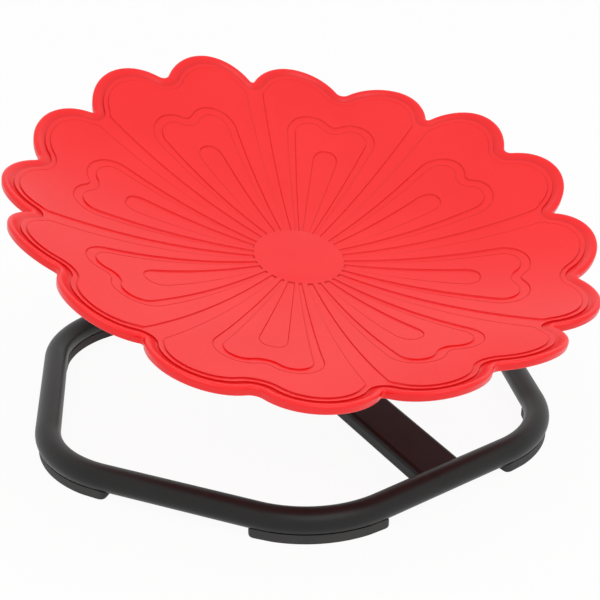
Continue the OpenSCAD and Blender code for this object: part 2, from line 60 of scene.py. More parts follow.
def nodePoints(node):
    # corners of a CAD node's mesh in millimetres
    mesh = frame["nodes"][node].data
    flat = np.zeros(len(mesh.vertices) * 3, np.float32)
    mesh.vertices.foreach_get("co", flat)
    return flat.reshape(-1, 3).astype(float) / mm


def axisRange(node):
    # lowest and highest point of a node along the spin axis
    height = (nodePoints(node) - spinPoint) @ spinAxis
    return height.min(), height.max()


def onAxis(plan, height):
    # places in the plane across the spin axis, and heights along it, to places in the frame
    height = np.broadcast_to(height, plan.shape[:-1])[..., None]
    return spinPoint + plan[..., :1] * acrossAxis + plan[..., 1:] * tiltAxis + height * spinAxis


def boxOf(node):
    # lowest and highest corner of a CAD node in millimetres
    low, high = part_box(node)
    return np.array(low) / mm, np.array(high) / mm


def wayAt(angle):
    # unit way in a plane, by angle
    return np.stack([np.cos(angle), np.sin(angle)], -1)


def inScene(name, data):
    # a new object that is linked into the scene
    item = bpy.data.objects.new(name, data)
    bpy.context.scene.collection.objects.link(item)
    return item


# mesh building

weldCell = 0.002  # points in one cell of this size become one
cellShift = 0.137  # keeps the borders of the cells off round sizes
sharpTurn = 35  # faces that meet at a larger turn keep a sharp edge, in degrees


def gridFaces(rows, columns, closeRows=False, closeColumns=False):
    # quads between neighbouring rows and columns of points that are stored row by row
    row = np.arange(rows if closeRows else rows - 1)
    column = np.arange(columns if closeColumns else columns - 1)
    row, column = np.meshgrid(row, column, indexing="ij")
    nextRow = (row + 1) % rows
    nextColumn = (column + 1) % columns
    corners = [row * columns + column, row * columns + nextColumn,
               nextRow * columns + nextColumn, nextRow * columns + column]
    return np.stack(corners, -1).reshape(-1, 4)


def sheet(points, closeRows=False, closeColumns=False):
    # a grid of places as a list of points and its quads
    return points.reshape(-1, 3), gridFaces(*points.shape[:2], closeRows, closeColumns)


def endCaps(points, steps):
    # the two ends of a row of closed sections, each filled between its halves
    half = points.shape[1] // 2
    share = np.linspace(0, 1, steps + 1)[:, None, None]
    caps = [sheet(row[:half] * (1 - share) + row[half:][::-1] * share) for row in (points[0], points[-1])]
    return [(cap, quads[:, ::way]) for (cap, quads), way in zip(caps, (-1, 1))]


def joinGrids(grids):
    # several (points, quads) into one, each with its own numbering
    counts = np.cumsum([0] + [len(points) for points, _ in grids[:-1]])
    points = np.concatenate([points for points, _ in grids])
    quads = np.concatenate([quads + count for (_, quads), count in zip(grids, counts)])
    return points, quads


def weld(points, quads):
    # points in the same small cell become one, and quads with a closed-up side become triangles
    cells = np.floor(points / weldCell + cellShift).astype(np.int64)
    _, first, back = np.unique(cells, axis=0, return_index=True, return_inverse=True)
    quads = back.reshape(-1)[quads]
    sides = quads != np.roll(quads, 1, axis=1)
    sideCount = sides.sum(1)
    whole = quads[sideCount == 4]
    thirds = quads[sideCount == 3][sides[sideCount == 3]].reshape(-1, 3)
    return points[first], whole, thirds, first


def signedVolume(points, whole, thirds):
    # sum of the tetrahedra between the middle and every triangle, positive where faces point outwards
    triangles = np.concatenate([whole[:, [0, 1, 2]], whole[:, [0, 2, 3]], thirds])
    a, b, c = (points[triangles[:, k]] - points.mean(0) for k in range(3))
    return float((a * np.cross(b, c)).sum() / 6)


def makePiece(name, grid, body, node, sharpAngle=sharpTurn, paintedShade=None):
    # one closed mesh in place of a node, with that node's slot and finish
    points, whole, thirds, kept = weld(*grid)
    if signedVolume(points, whole, thirds) < 0:
        whole, thirds = whole[:, ::-1], thirds[:, ::-1]
    mesh = bpy.data.meshes.new(name)
    mesh.from_pydata((points * mm).tolist(), [], whole.tolist() + thirds.tolist())
    mesh.polygons.foreach_set("use_smooth", np.ones(len(mesh.polygons), bool))
    mesh.set_sharp_from_angle(angle=math.radians(sharpAngle))
    mesh.materials.append(finishOfSlot[slotOfNode[node]])
    # painted shade: a share per point, kept as a mesh attribute, that darkens the seat's colour along its relief
    if paintedShade is not None:
        mesh.attributes.new("paintedShade", "FLOAT", "POINT").data.foreach_set("value", paintedShade[kept])
    piece = inScene(name, mesh)
    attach(piece, body)
    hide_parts(node)
    print("made", name, "with", len(mesh.polygons), "faces")


# materials

noiseDetail = {"broad": 3.0, "fine": 2.0}
rampEnds = (0.35, 0.65)  # part of the noise's range that the ramp spreads out


def newFinish(name):
    # a material with its nodes, links and shader
    finish = bpy.data.materials.new(name)
    finish.use_nodes = True
    nodes = finish.node_tree.nodes
    links = finish.node_tree.links
    return finish, nodes, links, nodes["Principled BSDF"]


def noiseOn(nodes, links, scale, detail):
    # noise in the piece's own metres
    place = nodes.new("ShaderNodeTexCoord")
    noise = nodes.new("ShaderNodeTexNoise")
    noise.inputs["Scale"].default_value = scale
    noise.inputs["Detail"].default_value = detail
    links.new(place.outputs["Object"], noise.inputs["Vector"])
    return noise.outputs["Fac"]


def rampTo(nodes, links, source, low, high):
    # noise spread between two values or two colours
    ramp = nodes.new("ShaderNodeValToRGB")
    for element, place, value in zip(ramp.color_ramp.elements, rampEnds, (low, high)):
        element.position = place
        element.color = value if isinstance(value, tuple) else (value, value, value, 1)
    links.new(source, ramp.inputs["Fac"])
    return ramp.outputs["Color"]


# the mix node's sockets for colours
colourMix = {"factor": 0, "first": 6, "second": 7, "result": 2}


def paintShadeBy(nodes, links, colour, attribute, shadeColour):
    # painted shade: the colour goes over to a darker shade colour where the mesh attribute rises to one
    place = nodes.new("ShaderNodeAttribute")
    place.attribute_name = attribute
    mix = nodes.new("ShaderNodeMix")
    mix.data_type = "RGBA"
    mix.inputs[colourMix["second"]].default_value = shadeColour
    links.new(place.outputs["Fac"], mix.inputs[colourMix["factor"]])
    links.new(colour, mix.inputs[colourMix["first"]])
    return mix.outputs[colourMix["result"]]


def bumpTo(nodes, links, source, shader, strength, height):
    # the noise as small heights on the surface
    bump = nodes.new("ShaderNodeBump")
    bump.inputs["Strength"].default_value = strength
    bump.inputs["Distance"].default_value = height * mm
    links.new(source, bump.inputs["Height"])
    links.new(bump.outputs["Normal"], shader.inputs["Normal"])


def makeFinish(look):
    # one shader: colour drifts over a broad noise, gloss and grain over a fine one
    finish, nodes, links, shader = newFinish(look["name"])
    shader.inputs["Metallic"].default_value = look.get("metal", 0.0)
    shader.inputs["Specular IOR Level"].default_value = look.get("specular", 0.5)
    broad = noiseOn(nodes, links, look["driftScale"], noiseDetail["broad"])
    fine = noiseOn(nodes, links, look["grainScale"], noiseDetail["fine"])
    colour = rampTo(nodes, links, broad, look["colour"], look["drift"])
    # painted shade: where the look gives a shade colour, the colour darkens by the mesh's painted shade share
    if "paintedShade" in look:
        colour = paintShadeBy(nodes, links, colour, "paintedShade", look["paintedShade"])
    links.new(colour, shader.inputs["Base Color"])
    links.new(rampTo(nodes, links, fine, *look["roughness"]), shader.inputs["Roughness"])
    bumpTo(nodes, links, fine, shader, look["grain"], look["grainHeight"])
    return finish


# the seat's darker red is painted shade along its relief lines
seatPlastic = makeFinish({
    "name": "seatPlastic", "colour": (0.95, 0.006, 0.009, 1), "drift": (0.98, 0.010, 0.012, 1),
    "paintedShade": (0.30, 0.001, 0.0015, 1), "specular": 0.42,
    "driftScale": 9, "grainScale": 1800, "roughness": (0.28, 0.34), "grain": 0.08, "grainHeight": 0.03})
framePaint = makeFinish({
    "name": "framePaint", "colour": (0.0110, 0.0111, 0.0108, 1), "drift": (0.0135, 0.0135, 0.0132, 1),
    "specular": 0.26,
    "driftScale": 30, "grainScale": 1300, "roughness": (0.34, 0.42), "grain": 0.12, "grainHeight": 0.04})
padRubber = makeFinish({
    "name": "padRubber", "colour": (0.028, 0.028, 0.028, 1), "drift": (0.035, 0.035, 0.034, 1),
    "driftScale": 60, "grainScale": 2200, "roughness": (0.62, 0.78), "grain": 0.5, "grainHeight": 0.12})
blackPlastic = makeFinish({
    "name": "blackPlastic", "colour": (0.010, 0.010, 0.011, 1), "drift": (0.014, 0.014, 0.014, 1),
    "driftScale": 50, "grainScale": 2500, "roughness": (0.46, 0.58), "grain": 0.3, "grainHeight": 0.06})
zincSteel = makeFinish({
    "name": "zincSteel", "metal": 1.0, "colour": (0.56, 0.57, 0.58, 1), "drift": (0.66, 0.67, 0.69, 1),
    "driftScale": 45, "grainScale": 900, "roughness": (0.26, 0.40), "grain": 0.1, "grainHeight": 0.03})
bearingSteel = makeFinish({
    "name": "bearingSteel", "metal": 1.0, "colour": (0.66, 0.66, 0.68, 1), "drift": (0.72, 0.72, 0.74, 1),
    "driftScale": 80, "grainScale": 1600, "roughness": (0.12, 0.20), "grain": 0.05, "grainHeight": 0.02})
turnedBrass = makeFinish({
    "name": "turnedBrass", "metal": 1.0, "colour": (0.66, 0.45, 0.17, 1), "drift": (0.76, 0.55, 0.24, 1),
    "driftScale": 70, "grainScale": 1200, "roughness": (0.22, 0.34), "grain": 0.08, "grainHeight": 0.02})

finishOfSlot = {
    "seat_plastic": seatPlastic, "frame_paint": framePaint, "pad_rubber": padRubber,
    "black_plastic": blackPlastic, "zinc_steel": zincSteel, "bearing_steel": bearingSteel,
    "brass": turnedBrass}
slotOfNode = {part["node"]: part["material_slot"] for part in frame["record"]["subparts"]}
for node, cadPiece in frame["nodes"].items():
    cadPiece.data.materials.clear()
    cadPiece.data.materials.append(finishOfSlot[slotOfNode[node]])
print("finishes set on", len(frame["nodes"]), "nodes")


# the flower seat

seat = {
    "petals": 8, "tipRadius": 257, "lobeRadius": 46.4, "lobeInner": 53, "lobeSpread": 23.2,
    "petalNotch": 8, "gapNotch": 2.2, "dishRise": 61.7, "petalWave": 9.1, "wall": 4.5, "sharpTurn": 50,
    "hubHeight": 6.5, "hubInner": 41, "hubOuter": 68, "hubFillet": 1.5, "hubEdge": 0.6,
    "beadWidth": 9, "beadFoot": 10.3, "beadValley": 1.3, "beadRise": -0.5, "grooveWidth": 6,
    "rimHeight": 9.5, "rimRound": 3.6, "lipWidth": 4, "lipRound": 1.6, "lipFillet": 2, "filletBow": 0.3,
    "discRadius": 40.2, "discStep": 0.5, "reliefDepth": 0.9,
    "tongueStart": 2.9, "tongueWide": 11.3, "tongueFrom": 143, "tongueEnd": 157.5, "tongueSquare": 2.4,
    "heartCentre": (175.2, 20.0), "heartRadius": 23, "heartNotch": 8, "heartBand": 8,
    "heartOuterAngle": 12.7, "heartInnerAngle": 8.4, "wedgeStart": 2.6, "wedgeEnd": 8.6, "wedgeEase": 3.5}
halfPetal = math.pi / seat["petals"]
lobeTurn = math.radians(seat["lobeSpread"] / 2)
hubLand = axisRange("seat_plate")[1]
seatBase = hubLand + seat["hubHeight"] + seat["wall"]
legStart = np.array([0, 0.15, 0.35, 0.5, 0.9, 1.6, 3.0, 6.0])  # close steps where a leg leaves the disc
legCount = 12  # even steps along the rest of a leg
arcCounts = (5, 13, 10, 6)  # steps round the gap notch, the two sides of the lobe and the petal notch
fineCounts = (60, 150, 130, 80)  # the same for a line that is spaced evenly later
lineSteps = {"tongue": 200, "heartLobe": 120, "heartNotch": 40, "wedgeBend": 20}
sectionSteps = {"crest": 8, "rimRound": 10, "lipRound": 5}
discRings = np.array([1, 0.985, 0.7, 0.35, 0])[:, None]  # rings of the disc as shares of its radius
fillRows = (3, 3, 2, 8)  # steps over each stretch between two steps of the relief
underRows = 8
rimFade = 6  # columns over which a petal's painted shade goes over to the rim's


def turned(points, angle):
    # places in a plane turned round its middle
    c, s = math.cos(angle), math.sin(angle)
    return points @ np.array([[c, s], [-s, c]])


def smooth(share):
    # eased step from nought to one, level at both ends
    share = np.clip(share, 0, 1)
    return share * share * (3 - 2 * share)


def topHeight(plan):
    # paraboloid dish whose petals rise and fall by turns, growing with the cube of the radius
    x, y = plan[..., 0], plan[..., 1]
    share = np.hypot(x, y) / seat["tipRadius"]
    wave = np.cos(seat["petals"] / 2 * np.arctan2(y, x))
    return seatBase + seat["dishRise"] * share ** 2 + seat["petalWave"] * share ** 3 * wave


def arcPoints(centre, radius, fromAngle, toAngle, count):
    # even steps round part of a circle
    return np.array(centre) + radius * wayAt(np.linspace(fromAngle, toAngle, count + 1))


def legPoints(start, end):
    # straight leg from the disc, with close steps where a groove drops away from it
    length = math.dist(start, end)
    steps = np.concatenate([legStart, np.linspace(legStart[-1], length, legCount + 1)[1:]])
    direction = (np.array(end) - np.array(start)) / length
    return np.array(start) + steps[:, None] * direction


def evenly(points, count):
    # the same line with evenly spaced points
    length = np.concatenate([[0], np.cumsum(np.hypot(*np.diff(points, axis=0).T))])
    at = np.linspace(0, length[-1], count + 1)
    return np.stack([np.interp(at, length, points[:, k]) for k in range(2)], -1)


def notchCentre(lobeRadius, notchRadius, turn):
    # a notch's round touches both lobes, so its middle is a lobe radius and its own radius from theirs
    reach = seat["tipRadius"] - lobeRadius
    along, aside = reach * math.cos(turn), reach * math.sin(turn)
    return along + math.sqrt((lobeRadius + notchRadius) ** 2 - aside ** 2)


def outline(inset, counts=arcCounts):
    # half a petal's rim moved in by inset, as touching arcs: gap notch, lobe's two sides, petal notch
    lobe = (seat["tipRadius"] - seat["lobeRadius"]) * wayAt(lobeTurn)
    inner = (seat["tipRadius"] - seat["lobeInner"]) * wayAt(lobeTurn)
    gap = notchCentre(seat["lobeRadius"], seat["gapNotch"], halfPetal - lobeTurn) * wayAt(halfPetal)
    middle = np.array([notchCentre(seat["lobeInner"], seat["petalNotch"], lobeTurn), 0.0])
    toGap = math.atan2(*(gap - lobe)[::-1])
    toMiddle = math.atan2(*(middle - inner)[::-1])
    first = arcPoints(gap, seat["gapNotch"] + inset, halfPetal - math.pi, toGap - math.pi, counts[0])
    second = arcPoints(lobe, seat["lobeRadius"] - inset, toGap, lobeTurn, counts[1])
    third = arcPoints(inner, seat["lobeInner"] - inset, lobeTurn, toMiddle, counts[2])
    fourth = arcPoints(middle, seat["petalNotch"] + inset, toMiddle + math.pi, math.pi, counts[3])
    return np.concatenate([first, second[1:], third[1:], fourth[1:]])


def tongueLine():
    # slot on the petal's middle line with a squared round end
    turn = np.linspace(0, math.pi / 2, lineSteps["tongue"])
    power = 2 / seat["tongueSquare"]
    x = seat["tongueFrom"] + (seat["tongueEnd"] - seat["tongueFrom"]) * np.sin(turn) ** power
    y = seat["tongueWide"] * np.abs(np.cos(turn)) ** power
    start = (math.sqrt(seat["discRadius"] ** 2 - seat["tongueStart"] ** 2), seat["tongueStart"])
    return legPoints(start, (x[0], y[0])), np.stack([x, y], -1)


def heartLine(inset, startAngle):
    # straight leg that touches the round of the heart's lobe, then the round, then the notch's round
    centre = np.array(seat["heartCentre"])
    radius = seat["heartRadius"] - inset
    start = seat["discRadius"] * wayAt(startAngle)
    gap = centre - start
    reach = math.hypot(*gap)
    lean = math.atan2(gap[1], gap[0]) + math.asin(radius / reach)
    end = start + math.sqrt(reach ** 2 - radius ** 2) * wayAt(lean)
    notch = seat["heartNotch"] + inset
    notchX = centre[0] + math.sqrt((radius + notch) ** 2 - centre[1] ** 2)
    toNotch = math.atan2(-centre[1], notchX - centre[0])
    lobe = arcPoints(centre, radius, lean + math.pi / 2, toNotch, lineSteps["heartLobe"])
    inside = arcPoints((notchX, 0), notch, toNotch + math.pi, math.pi, lineSteps["heartNotch"])
    return legPoints(start, end), np.concatenate([lobe, inside[1:]])


def panelLine():
    # straight edge along the gap between petals, eased into the rim's groove
    rim = turned(outline(seat["beadWidth"] + seat["grooveWidth"], fineCounts), -halfPetal)
    rim[:, 1] *= -1
    corner = int(np.argmax(rim[:, 1] > seat["wedgeEnd"]))
    start = np.array([math.sqrt(seat["discRadius"] ** 2 - seat["wedgeStart"] ** 2), seat["wedgeStart"]])
    tip, ease = rim[corner], seat["wedgeEase"]
    end = tip + (start - tip) * ease / math.dist(start, tip)
    past = corner + int(np.argmax(np.hypot(*(rim[corner:] - tip).T) > ease))
    share = np.linspace(0, 1, lineSteps["wedgeBend"])[:, None]
    bend = (1 - share) ** 2 * end + 2 * share * (1 - share) * tip + share ** 2 * rim[past]
    mirror = np.array([1, -1])
    lines = legPoints(start, end), np.concatenate([bend, rim[past + 1:]])
    return [turned(line * mirror, halfPetal) for line in lines]


def middleLine():
    # middle of the petal from the disc to halfway into the tongue's end
    end = seat["tongueFrom"]
    leg = legPoints((seat["discRadius"], 0.0), (end, 0.0))
    return leg, np.array([[end, 0.0], [(end + seat["tongueEnd"]) / 2, 0.0]])


def gapLine():
    # middle of the gap from the disc to the rim, then the middle of the rim's groove
    rim = outline(seat["beadWidth"] + seat["grooveWidth"] / 2)
    return legPoints(seat["discRadius"] * wayAt(halfPetal), rim[0]), rim


def wholeLine(leg, rest, count=sum(arcCounts)):
    # a leg and what follows it, with the same count on every line
    rest = rest if len(rest) == count + 1 else evenly(rest, count)
    return np.concatenate([leg, rest[1:]])


def shifted(line, distance):
    # the line moved sideways, with its ends kept on the disc and on the petal's middle line
    along = np.gradient(line, axis=0)
    along /= np.hypot(*along.T)[:, None]
    along[-1] = 0, -1
    moved = line + distance * np.stack([-along[:, 1], along[:, 0]], -1)
    moved[0] *= seat["discRadius"] / math.hypot(*moved[0])
    return moved


# rows across a step in the relief: place beside the line, share of the depth, fine raised edge, and how
# much painted shade darkens the colour on the petal, beside the raised edge and along the rim
stepRows = np.array([
    (-1.2, 1, 0, 0, 0, 0), (-0.8, 1, 0, 0.05, 0, 0.25), (-0.45, 1, 0, 0.14, 0, 0.4),
    (-0.28, 0.9, 0, 0.2, 0, 0.42), (-0.02, 0.2, -0.1, 0.22, 0, 0.4), (0.06, 0.06, -0.27, 0.16, 0, 0.3),
    (0.16, 0, -0.32, 0.05, 0, 0.1), (0.36, 0, -0.32, 0, 0, 0), (0.44, 0, -0.26, 0, 0.4, 0),
    (0.52, 0, 0, 0, 0.42, 0), (0.64, 0, 0, 0, 0, 0)])
# painted shade on the hollows' walls by distance from the disc
discPaintedShade = ((0, 0.15, 0.35, 0.9, 1.6), (0, 0.45, 0.55, 0.45, 0))


def petalRows():
    # rows of half a petal from its middle out to the gap, with their depth shares and painted shade
    heartInner = heartLine(seat["heartBand"], math.radians(seat["heartInnerAngle"]))
    heartOuter = heartLine(0, math.radians(seat["heartOuterAngle"]))
    lines = [middleLine(), tongueLine(), heartInner, heartOuter, panelLine(), gapLine()]
    lines = [wholeLine(*line) for line in lines]
    rows, looks = [lines[0]], [(1, 0, 0, 0, 0)]
    for line, fill, rising in zip(lines[1:5], fillRows, (True, False, True, False)):
        steps = stepRows.copy() if rising else stepRows[::-1] * np.array([-1, 1, 1, 1, 1, 1])
        if line is not lines[4]:
            steps[:, 5] = steps[:, 3] + steps[:, 4]
        last, edge = rows[-1], shifted(line, steps[0, 0])
        rows += [last + (edge - last) * share for share in np.arange(1, fill) / fill]
        looks += [steps[0, 1:]] * (fill - 1)
        rows += [shifted(line, place) for place in steps[:, 0]]
        looks += list(steps[:, 1:])
    rows += [(rows[-1] + lines[5]) / 2, lines[5]]
    looks += [(1, 0, 0, 0, 0)] * 2
    depths, edges, petalPaintedShade, edgePaintedShade, rimLinePaintedShade = np.array(looks).T[..., None]
    pastLeg = np.arange(len(lines[0])) - len(legStart) - legCount
    outwards = smooth(1 + pastLeg / (len(legStart) + legCount))
    # painted shade: the petal's share plus the raised edge's share growing outwards, going over to the rim's share
    paintedShades = petalPaintedShade + edgePaintedShade * outwards
    paintedShades += (rimLinePaintedShade - paintedShades) * smooth(pastLeg / rimFade)
    return np.array(rows), depths + edges * outwards, paintedShades


def roundPart(inset, height, radius, fromAngle, toAngle, count):
    # part of a round in the rim's section, as insets and heights
    way = wayAt(np.radians(np.linspace(fromAngle, toAngle, count + 1))) * np.array([-1, 1])
    return np.array([inset, height]) + radius * way


# step from the groove into the bead's valley: places in from the bead's foot, depths under the groove
valleyStep = ((0.5, 0), (0.25, 0.06), (0.12, 0.3))
valleyFlat = (0, 0.35, 0.9)  # places out from the bead's foot along the valley's floor
# painted shade at the bead's foot by inset
beadPaintedShade = ((5.5, 7.5, 9.4, 9.95, 10.3, 10.42, 10.55), (0, 0.12, 0.16, 0.45, 0.5, 0.3, 0))


def rimSection():
    # insets from the outline and heights over the dish: groove, bead, outer face, lip, underside, with painted
    # shade
    depth, bead, wall, beadFoot = seat["reliefDepth"], seat["beadRise"], seat["wall"], seat["beadFoot"]
    valley, rimRound, lip = depth + seat["beadValley"], seat["rimRound"], seat["lipRound"]
    start = [(seat["beadWidth"] + seat["grooveWidth"] / 2, -depth)]
    start += [(beadFoot + place, -depth - drop) for place, drop in valleyStep]
    start += [(beadFoot - place, -valley) for place in valleyFlat]
    share = np.linspace(0, 1, sectionSteps["crest"] + 1)[1:]
    crestStart = start[-1][0]
    crestPlaces = crestStart + (rimRound - crestStart) * share
    crest = np.stack([crestPlaces, (valley + bead) * smooth(share) - valley], -1)
    over = roundPart(rimRound, bead - rimRound, rimRound, 90, 0, sectionSteps["rimRound"])
    lipHeight = lip - seat["rimHeight"]
    under = roundPart(lip, lipHeight, lip, 0, -90, sectionSteps["lipRound"])
    inside = roundPart(seat["lipWidth"] - lip, lipHeight, lip, 270, 180, sectionSteps["lipRound"])
    fillet, bow = seat["lipFillet"], seat["lipFillet"] * seat["filletBow"]
    back = [(seat["lipWidth"], -wall - fillet), (seat["lipWidth"] + bow, -wall - bow),
            (seat["lipWidth"] + fillet, -wall), (seat["beadWidth"], -wall),
            (seat["beadWidth"] + seat["grooveWidth"], -wall - depth)]
    section = np.concatenate([start, crest, over[1:], under, inside, back])
    # painted shade by inset, darkest at the bead's foot
    return section, np.interp(section[:, 0], *beadPaintedShade)


def underPlan(lastRim):
    # the underside from the rim to the hub, where its points come round to even spacing
    share = np.linspace(1, 0, underRows + 1)[1:, None]
    hub = seat["hubOuter"] + seat["hubFillet"]
    angle = np.arctan2(lastRim[:, 1], lastRim[:, 0])
    angle = share * angle + (1 - share) * np.linspace(halfPetal, 0, len(lastRim))
    reach = hub + share * (np.hypot(*lastRim.T) - hub)
    return reach[..., None] * wayAt(angle)


def hubRows(hollow):
    # radius and height of the ring that the plate bolts to and of the hollow inside it
    outer, inner, fillet, edge = seat["hubOuter"], seat["hubInner"], seat["hubFillet"], seat["hubEdge"]
    return np.array([
        (outer + fillet / 3, hollow - fillet), (outer, hubLand + edge), (outer - edge, hubLand),
        (inner + edge, hubLand), (inner, hubLand + edge), (inner - fillet / 3, hollow - fillet),
        (inner - fillet, hollow), (inner / 2, hollow), (0, hollow)])


def halfPlaced(plan, petal, side):
    # half a petal's plan turned to its place, mirrored for the other half
    return turned(plan * np.array([1, side]), 2 * halfPetal * petal)[:, ::side]


def seatGrid():
    # top, rim, underside and disc of every half petal, as heights over their plans, with each point's painted
    # shade
    rows, depths, paintedShades = petalRows()
    fromDisc = np.hypot(rows[..., 0], rows[..., 1]) - seat["discRadius"]
    offDisc = smooth(fromDisc / seat["discStep"])
    drop = seat["reliefDepth"] * depths * offDisc
    # painted shade on the top: along the relief's steps, and on the hollows' walls where they leave the disc
    topPaintedShade = np.maximum(paintedShades * offDisc, depths * np.interp(fromDisc, *discPaintedShade))
    rim, rimPaintedShade = rimSection()
    rimPlan = np.array([outline(inset) for inset in rim[:, 0]])
    below = underPlan(rimPlan[-1])
    ring = below[-1] / np.hypot(*below[-1].T)[:, None]
    discHeight = seatBase + seat["dishRise"] * (seat["discRadius"] / seat["tipRadius"]) ** 2
    hub = hubRows(discHeight - seat["wall"])
    plans = rows, rimPlan, below, ring * hub[:, :1, None], rows[:, 0] * discRings[..., None]
    grids, paintedShades = [], []
    for petal in range(seat["petals"]):
        for side in (1, -1):
            top, outer, under, middle, disc = [halfPlaced(plan, petal, side) for plan in plans]
            sheets = [
                (top, topHeight(top) - drop[:, ::side], topPaintedShade[:, ::side]),
                (outer, topHeight(outer) + rim[:, 1:], rimPaintedShade[:, None]),
                (np.concatenate([outer[-1:], under, middle]), np.concatenate([
                    topHeight(outer[-1:]) + rim[-1:, 1:], topHeight(under) - seat["wall"],
                    np.broadcast_to(hub[:, 1:], middle.shape[:2])]), 0),
                (disc, np.where(discRings == 1, topHeight(disc), discHeight), 0)]
            for plan, height, paintedShade in sheets:
                grids.append(sheet(onAxis(plan, height)))
                paintedShades.append(np.broadcast_to(paintedShade, plan.shape[:2]).reshape(-1))
    return joinGrids(grids), np.concatenate(paintedShades)


# the seat's mesh and the painted shade of each of its points
seatShape, seatPaintedShade = seatGrid()
makePiece("flowerSeat", seatShape, "seat", "seat_shell", seat["sharpTurn"], seatPaintedShade)


# the ring of bent tube

tubeLow, tubeHigh = boxOf("frame_tube")
ringTube = {
    "diameter": tubeHigh[2] - tubeLow[2], "bendRadius": 95, "corners": 6, "bendSteps": 28, "sides": 56,
    "centre": (tubeLow + tubeHigh) / 2}
ringTube["apothem"] = (tubeHigh[1] - tubeLow[1] - ringTube["diameter"]) / 2
cornerTurn = 2 * math.pi / ringTube["corners"]
bendReach = (ringTube["apothem"] - ringTube["bendRadius"]) / math.cos(cornerTurn / 2)


def bendCentre(corner):
    # middle of one bend's circle, seen from above
    return ringTube["centre"][:2] + bendReach * wayAt(corner * cornerTurn)


def alongBend(corner, angle):
    # places on the tube's middle line round one bend, and the way outwards there
    outwards = wayAt(corner * cornerTurn + angle)
    return bendCentre(corner) + ringTube["bendRadius"] * outwards, outwards


def ringGrid():
    # a circle carried round six bends, with the straight runs between one bend's end and the next
    angle = np.linspace(-cornerTurn / 2, cornerTurn / 2, ringTube["bendSteps"] + 1)
    places, ways = zip(*[alongBend(corner, angle) for corner in range(ringTube["corners"])])
    places, ways = np.concatenate(places)[:, None], np.concatenate(ways)[:, None]
    around = np.linspace(0, 2 * math.pi, ringTube["sides"], endpoint=False)[None, :, None]
    radius = ringTube["diameter"] / 2
    plan = places + radius * np.cos(around) * ways
    height = np.broadcast_to(ringTube["centre"][2] + radius * np.sin(around), plan.shape[:2] + (1,))
    return sheet(np.concatenate([plan, height], -1), True, True)


makePiece("ringTube", ringGrid(), "base", "frame_tube")


# the crossbar

bar = {
    "width": 43.5, "thickness": 15, "corner": 4.2, "padLength": 110, "bendRadius": 40, "bendSteps": 10,
    "cornerSteps": 7, "beside": 0.8}


def barPath():
    # corners of the middle line in the upright plane, eased by arcs: places and headings
    half = bar["padLength"] / 2 * wayAt(seatTilt)
    pivot = spinPoint[1:]
    reach = np.array([ringTube["apothem"], 0])
    corners = [ringTube["centre"][1:] - reach, pivot - half, pivot + half, ringTube["centre"][1:] + reach]
    heading = [math.atan2(*(b - a)[::-1]) for a, b in zip(corners, corners[1:])]
    places, turns = [corners[0][None]], [np.array([heading[0]])]
    for corner, before, after in zip(corners[1:3], heading, heading[1:]):
        side = np.sign(after - before)
        back = bar["bendRadius"] * math.tan(abs(after - before) / 2)
        middle = corner - back * wayAt(before) + side * bar["bendRadius"] * wayAt(before + math.pi / 2)
        angle = np.linspace(before, after, bar["bendSteps"] + 1)
        places.append(middle + side * bar["bendRadius"] * wayAt(angle - math.pi / 2))
        turns.append(angle)
    places.append(corners[3][None])
    turns.append(np.array([heading[2]]))
    return np.concatenate(places), np.concatenate(turns)


def barSection():
    # rounded rectangle as places across and over the bar, with a point on each flat beside every corner
    half = np.array([bar["width"], bar["thickness"]]) / 2 - bar["corner"]
    arc = arcPoints((0, 0), bar["corner"], 0, math.pi / 2, bar["cornerSteps"])
    arc = np.concatenate([arc[:1] - [[0, bar["beside"]]], arc, arc[-1:] - [[bar["beside"], 0]]])
    corners = half * np.array([(1, 1), (-1, 1), (-1, -1), (1, -1)])
    return np.concatenate([corner + turned(arc, k * math.pi / 2) for k, corner in enumerate(corners)])


def onTube(places, ways, end):
    # where lines in the upright plane meet the outside of the front or rear tube
    centre = ringTube["centre"][1:] + np.array([end * ringTube["apothem"], 0])
    gap = places - centre
    along = (gap * ways).sum(-1)
    square = (gap ** 2).sum(-1) - (ringTube["diameter"] / 2) ** 2
    return places + (-along + np.sqrt(along ** 2 - square))[..., None] * ways


def barGrid():
    # the section carried along the path, with both ends coped to the tubes and closed along them
    places, turns = barPath()
    section = barSection()
    forward, over = wayAt(turns), wayAt(turns + math.pi / 2)
    upright = places[:, None] + section[None, :, 1:] * over[:, None]
    upright[0] = onTube(upright[0], forward[0], -1)
    upright[-1] = onTube(upright[-1], -forward[-1], 1)
    across = np.broadcast_to(section[:, 0], upright.shape[:2])
    points = np.concatenate([across[..., None], upright], -1)
    return joinGrids([sheet(points, False, True)] + endCaps(points, 1))


makePiece("crossBar", barGrid(), "base", "crossbar")


# foot pads under the bends

foot = {
    "width": 18, "span": 67, "edgeRound": 1.4, "endRound": 2.6, "endCorner": 6, "saddleGap": 0.05,
    "lipDepth": 2, "lipGap": 0.75, "lipRound": 0.45, "screwAngle": 18, "boreRadius": 4.0, "boreDepth": 3.2,
    "boreLand": 1.4, "boreEdge": 0.4, "edgeBow": 0.3, "boreFloor": 0.3, "patchHalf": 6.4, "patchCells": 8,
    "lipSteps": 3, "edgeSteps": 6, "endSteps": 9, "middleSteps": 11, "capSteps": 3}
saddleRadius = ringTube["diameter"] / 2 + foot["saddleGap"]


def saddle(x):
    # height of the tube's underside over a place across the pad
    return ringTube["centre"][2] - np.sqrt(saddleRadius ** 2 - x ** 2)


